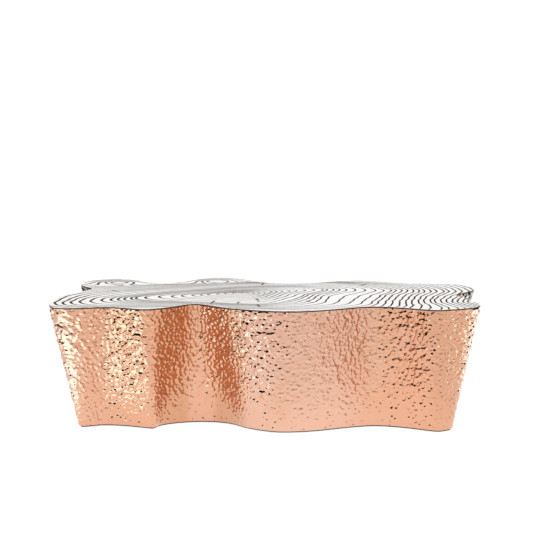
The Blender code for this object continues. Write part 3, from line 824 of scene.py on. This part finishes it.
def hammered_copper():
    """Bright planished copper, cloudy between pink and orange.

    The two sides of the front bay are darkened with painted shade, and the upper walls of the notches
    at both ends are streaked dark and cream with a painted reflection.
    """
    material, graph, shader = new_material("hammered_copper")
    place = graph.stretched((1, 1, 0.6))
    sideways = graph.node("ShaderNodeSeparateXYZ", Vector=place).outputs["X"]
    off_middle = graph.math("ABSOLUTE", graph.math("SUBTRACT", sideways, 0.12))
    drift = graph.math("MULTIPLY_ADD", graph.ramp(off_middle, 0.10, 0.45), 0.36, -0.18)
    cloud = graph.ramp(graph.math("ADD", graph.noise(place, 4.2, 3.0), drift), 0.32, 0.68)
    mottle = graph.noise(place, 34.0, 4.0)
    pink = colour(0.715, 0.430, 0.312)
    orange = colour(0.705, 0.375, 0.235)
    base = graph.mix(cloud, pink, orange)
    # Painted shade: the two sides of the front bay are darkened, standing in for the shade inside that
    # recess.
    off_bay = graph.math("ABSOLUTE", graph.math("ADD", sideways, 0.22))
    past_middle = graph.ramp(off_bay, 0.03, 0.06)
    before_bulges = graph.ramp(off_bay, 0.12, 0.16, 1.0, 0.0)
    bay_sides_painted_shade = graph.math("MULTIPLY", past_middle, before_bulges)
    base = graph.mix(graph.math("MULTIPLY", bay_sides_painted_shade, 0.6), base, colour(0.58, 0.29, 0.155))
    base = graph.mix(graph.ramp(mottle, 0.55, 0.8, 0.0, 0.25), base, colour(0.68, 0.35, 0.22))
    # Painted reflection: the upper walls of the notches at both ends are streaked dark and cream,
    # standing in for the studio reflected there.
    spot = graph.node("ShaderNodeSeparateXYZ", Vector=graph.stretched((1, 1, 1))).outputs
    normal = graph.node("ShaderNodeNewGeometry").outputs["Normal"]
    turned = graph.node("ShaderNodeSeparateXYZ", Vector=normal).outputs["Y"]
    far = graph.ramp(spot["Y"], -0.02, 0.03)
    facing = graph.ramp(turned, -0.35, -0.15, 1.0, 0.0)
    end = graph.ramp(graph.math("ABSOLUTE", spot["X"]), 0.50, 0.54)
    high = graph.ramp(spot["Z"], 0.20, 0.36)
    notch_painted_reflection = graph.math("MULTIPLY", far, facing)
    notch_painted_reflection = graph.math("MULTIPLY", notch_painted_reflection, graph.math("MULTIPLY", end, high))
    painted_reflection_mask = graph.ramp(graph.noise(graph.stretched((1, 1, 0.3)), 150.0, 2.0), 0.50, 0.58)
    painted_reflection_streaks = graph.mix(painted_reflection_mask, colour(0.030, 0.020, 0.015), colour(0.74, 0.54, 0.40))
    graph.feed(shader.inputs["Base Color"], graph.mix(notch_painted_reflection, base, painted_reflection_streaks))
    shader.inputs["Metallic"].default_value = 1.0
    graph.feed(shader.inputs["Roughness"], graph.math("MULTIPLY_ADD", mottle, 0.06, 0.03))
    grain = graph.noise(graph.stretched((1, 1, 1)), 420.0, 3.0)
    graph.feed(shader.inputs["Normal"], graph.bump(grain, 0.08, 0.0004))
    return material


def wood(name, light, dark, scale, ply_thickness=None):
    """Timber with its grain along the object's X axis, in plies if a ply thickness is given."""
    material, graph, shader = new_material(name)
    grain = graph.noise(graph.stretched(scale), 1.0, 5.0, 0.6)
    base = graph.mix(graph.ramp(grain, 0.3, 0.7), light, dark)
    if ply_thickness:
        place = graph.tree.nodes.new("ShaderNodeTexCoord").outputs["Object"]
        level = graph.node("ShaderNodeSeparateXYZ", Vector=place).outputs["Z"]
        band = graph.math("SINE", graph.math("MULTIPLY", level, math.tau / ply_thickness))
        base = graph.mix(graph.ramp(band, -0.3, 0.3, 0.0, 0.45), base, dark)
    graph.feed(shader.inputs["Base Color"], base)
    graph.feed(shader.inputs["Roughness"], graph.math("MULTIPLY_ADD", grain, 0.25, 0.45))
    graph.feed(shader.inputs["Normal"], graph.bump(grain, 0.3, 0.0006))
    return material


def black_board():
    """Black-stained plywood with a little grain showing."""
    light, dark = colour(0.018, 0.015, 0.013), colour(0.006, 0.005, 0.004)
    material = wood("black_stained_board", light, dark, (4, 60, 60))
    shader = material.node_tree.nodes["Principled BSDF"]
    shader.inputs["Specular IOR Level"].default_value = 0.03
    return material


def zinc_steel():
    """Zinc-plated steel with a faint cloudy spangle."""
    material, graph, shader = new_material("zinc_plated_steel")
    spangle = graph.noise(graph.stretched((1, 1, 1)), 180.0, 2.0)
    base = graph.mix(spangle, colour(0.55, 0.57, 0.60), colour(0.74, 0.75, 0.76))
    graph.feed(shader.inputs["Base Color"], base)
    shader.inputs["Metallic"].default_value = 1.0
    graph.feed(shader.inputs["Roughness"], graph.math("MULTIPLY_ADD", spangle, 0.2, 0.25))
    return material


def foot_rubber():
    """Matt black rubber with a fine moulded grain."""
    material, graph, shader = new_material("foot_rubber")
    grain = graph.noise(graph.stretched((1, 1, 1)), 900.0, 2.0)
    base = graph.mix(grain, colour(0.018, 0.018, 0.019), colour(0.04, 0.04, 0.042))
    graph.feed(shader.inputs["Base Color"], base)
    graph.feed(shader.inputs["Roughness"], graph.math("MULTIPLY_ADD", grain, 0.2, 0.7))
    graph.feed(shader.inputs["Normal"], graph.bump(grain, 0.3, 0.0003))
    return material


def dress(names, material):
    """Give CAD nodes that stay visible a material of their own."""
    for name in names:
        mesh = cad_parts[name].data
        mesh.materials.clear()
        mesh.materials.append(material)


# ---------------------------------------------------------------- the studio

def patch(graph, turn, rise, turns, rises, soft=0.07):
    """A soft-edged patch of the sky: 1 inside its turns and rises (in degrees), and 0 outside."""
    share = 1.0
    for value, (low, high) in ((turn, turns), (rise, rises)):
        low, high = math.radians(low), math.radians(high)
        into = graph.ramp(value, low - soft, low + soft)
        out_of = graph.ramp(value, high - soft, high + soft, 1.0, 0.0)
        share = graph.math("MULTIPLY", share, graph.math("MULTIPLY", into, out_of))
    return share


def studio_light():
    """A white room with broad soft boxes, and darker gaps low down between them."""
    world = bpy.data.worlds.new("studio")
    world.use_nodes = True
    bpy.context.scene.world = world
    graph = Graph(world.node_tree)
    background = world.node_tree.nodes["Background"]
    direction = graph.tree.nodes.new("ShaderNodeTexCoord").outputs["Generated"]
    axes = graph.node("ShaderNodeSeparateXYZ", Vector=direction)
    x, y, z = axes.outputs["X"], axes.outputs["Y"], axes.outputs["Z"]
    turn = graph.math("ARCTAN2", x, graph.math("MULTIPLY", y, -1.0))
    rise = graph.math("ARCSINE", z)
    light = graph.ramp(rise, 0.15, 0.9, 0.92, 0.55)
    for turns, rises, level in DIM_PATCHES:
        gap = patch(graph, turn, rise, turns, rises)
        light = graph.math("MULTIPLY", light, graph.math("MULTIPLY_ADD", gap, level - 1.0, 1.0))
    for turns, rises, power in SOFT_BOXES:
        box = patch(graph, turn, rise, turns, rises)
        light = graph.math("ADD", light, graph.math("MULTIPLY", box, power))
    seen = graph.tree.nodes.new("ShaderNodeLightPath").outputs["Is Camera Ray"]
    light = graph.math("ADD", graph.math("MULTIPLY", light, graph.math("SUBTRACT", 1.0, seen)),
                       graph.math("MULTIPLY", seen, 1.05))
    graph.feed(background.inputs["Strength"], light)
    background.inputs["Color"].default_value = colour(1.0, 1.0, 1.0)


def make_floor():
    """A wide, pale, softly glowing floor, with pools of brighter light beside the table."""
    material, graph, shader = new_material("pale_floor")
    place = graph.tree.nodes.new("ShaderNodeTexCoord").outputs["Object"]
    speck = graph.noise(place, 3.0, 2.0)
    base = graph.mix(speck, colour(0.49, 0.49, 0.49), colour(0.51, 0.51, 0.51))
    graph.feed(shader.inputs["Base Color"], base)
    shader.inputs["Roughness"].default_value = 0.8
    shader.inputs["Specular IOR Level"].default_value = 0.1
    glow = [FLOOR_GLOW] * 3
    for (x, y), (half_x, half_y), soft, extra in POOLS:
        middle = (-x / half_x, -y / half_y, 0.0)
        scale = (1 / half_x, 1 / half_y, 1.0)
        mapping = graph.node("ShaderNodeMapping", Vector=place, Location=middle, Scale=scale)
        away = graph.node("ShaderNodeVectorMath", operation="LENGTH").outputs["Value"]
        graph.feed(away.node.inputs[0], mapping.outputs["Vector"])
        inside = graph.ramp(away, 1 - soft, 1 + soft, 1.0, 0.0)
        glow = [graph.math("MULTIPLY_ADD", inside, more, level) for more, level in zip(extra, glow)]
    blend = graph.node("ShaderNodeCombineColor", Red=glow[0], Green=glow[1], Blue=glow[2])
    graph.feed(shader.inputs["Emission Color"], blend.outputs["Color"])
    shader.inputs["Emission Strength"].default_value = 1.0
    turns = [math.tau * i / FLOOR_SIDES for i in range(FLOOR_SIDES)]
    points = [(FLOOR_REACH * math.cos(turn), FLOOR_REACH * math.sin(turn), 0.0) for turn in turns]
    mesh = bpy.data.meshes.new("floor")
    mesh.from_pydata(points, [], [list(range(FLOOR_SIDES))])
    mesh.materials.append(material)
    floor = bpy.data.objects.new("floor", mesh)
    bpy.context.scene.collection.objects.link(floor)


def make_camera():
    """A long lens a little above the table, looking straight at its front."""
    camera = bpy.data.cameras.new("camera")
    camera.lens = CAMERA_LENS
    camera.sensor_width = CAMERA_SENSOR
    item = bpy.data.objects.new("camera", camera)
    item.location = CAMERA_PLACE
    item.rotation_euler = (math.radians(90 - CAMERA_TILT), 0.0, 0.0)
    bpy.context.scene.collection.objects.link(item)
    bpy.context.scene.camera = item


def node_names(start, end=""):
    """The CAD nodes whose names start and end so."""
    return [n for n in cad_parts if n.startswith(start) and n.endswith(end)]


make_top(engraved_silver())
copper = hammered_copper()
for panel_name, first_seam, last_seam in PANELS:
    make_panel(panel_name, first_seam, last_seam, copper)

birch = wood("birch_plywood", colour(0.74, 0.58, 0.40), colour(0.56, 0.40, 0.25), (5, 70, 70), 0.003)
dress(["top_former", "mid_former", "spine"] + node_names("rib_"), birch)
pine = wood("pine_batten", colour(0.80, 0.63, 0.40), colour(0.62, 0.42, 0.22), (60, 60, 4))
dress(node_names("batten_"), pine)
dress(["base_board"], black_board())
zinc = zinc_steel()
dress(node_names("former_screw_") + node_names("foot_", "_insert") + node_names("foot_", "_stud"), zinc)
dress(node_names("foot_", "_pad"), foot_rubber())

studio_light()
make_floor()
make_camera()
bpy.context.scene.view_settings.view_transform = "Standard"
